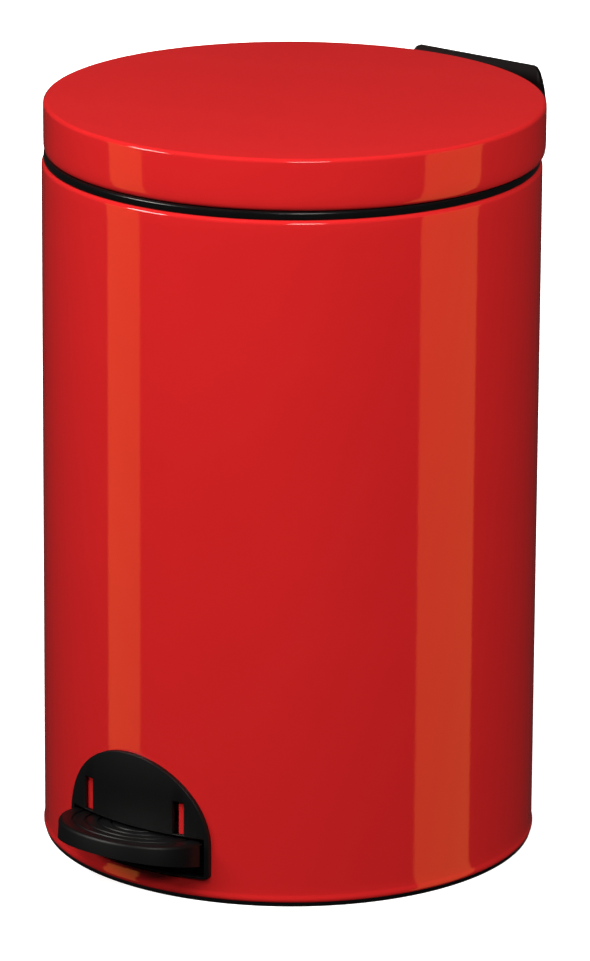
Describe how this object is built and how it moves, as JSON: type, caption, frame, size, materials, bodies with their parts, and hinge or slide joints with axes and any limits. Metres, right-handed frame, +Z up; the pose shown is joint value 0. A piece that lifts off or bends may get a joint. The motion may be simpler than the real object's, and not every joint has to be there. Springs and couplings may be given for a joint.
{
  "type": "oily waste can",
  "caption": "Round red steel waste can with a foot pedal at the front, a lid hinged at the back, a black plastic rim and base, and a lift-out steel bucket.",
  "frame": {"origin": "on the can's own upright axis, at the floor the base ring stands on", "axes": "+Z up, -Y towards the pedal, +Y towards the hinge, +X to the right of a person who faces the pedal"},
  "size_m": [0.2932, 0.3602, 0.4472],
  "materials": {
    "red_paint": "glossy powder coat",
    "black_plastic": "satin moulded",
    "zinc": "zinc plated",
    "steel": "bright drawn",
    "nylon": "natural nylon"
  },
  "bodies": {
    "can": {"body_shell": "red_paint", "bottom_plate": "zinc", "base_ring": "black_plastic", "top_collar": "black_plastic", "pedal_surround": "black_plastic", "hinge_housing": "black_plastic", "housing_rivets": "steel", "hinge_pin": "steel", "pivot_bracket": "zinc", "bracket_rivets": "steel", "lever_axle": "steel", "axle_clips": "steel", "rod_guides": "nylon", "guide_rivets": "steel"},
    "lid": {"lid_shell": "red_paint", "lid_bracket": "zinc", "lid_rivets": "steel", "hinge_bushes": "nylon"},
    "pedal": {"pedal_tread": "black_plastic", "pedal_lever": "zinc", "pedal_screws": "steel", "lever_bush": "nylon"},
    "push_rod": {"push_rod": "steel", "rod_clips": "steel"},
    "bucket": {"inner_bucket": "zinc", "bail_ears": "zinc", "ear_rivets": "steel"},
    "bail": {"bucket_bail": "steel"}
  },
  "joints": [
    {"name": "lid_hinge", "type": "hinge", "parent": "can", "child": "lid", "pos_m": [0, 0.1515, 0.421], "axis": [-1, 0, 0], "range_deg": [0, 75]},
    {"name": "pedal_pivot", "type": "hinge", "parent": "can", "child": "pedal", "pos_m": [0, -0.026, 0.024], "axis": [1, 0, 0], "range_deg": [0, 6.37]},
    {"name": "push_rod_slide", "type": "slide", "parent": "can", "child": "push_rod", "axis": [0, 0, 1], "range_m": [0, 0.01842]},
    {"name": "bucket_lift", "type": "slide", "parent": "can", "child": "bucket", "axis": [0, 0, 1], "range_m": [0, 0.03]},
    {"name": "bail_swing", "type": "hinge", "parent": "bucket", "child": "bail", "pos_m": [0, 0, 0.3907], "axis": [1, 0, 0], "range_deg": [-85, 85]}
  ],
  "couplings": [
    {"joint": "pedal_pivot", "follows": "lid_hinge", "ratio": 0.084896},
    {"joint": "push_rod_slide", "follows": "lid_hinge", "m_per_rad": 0.014069}
  ]
}
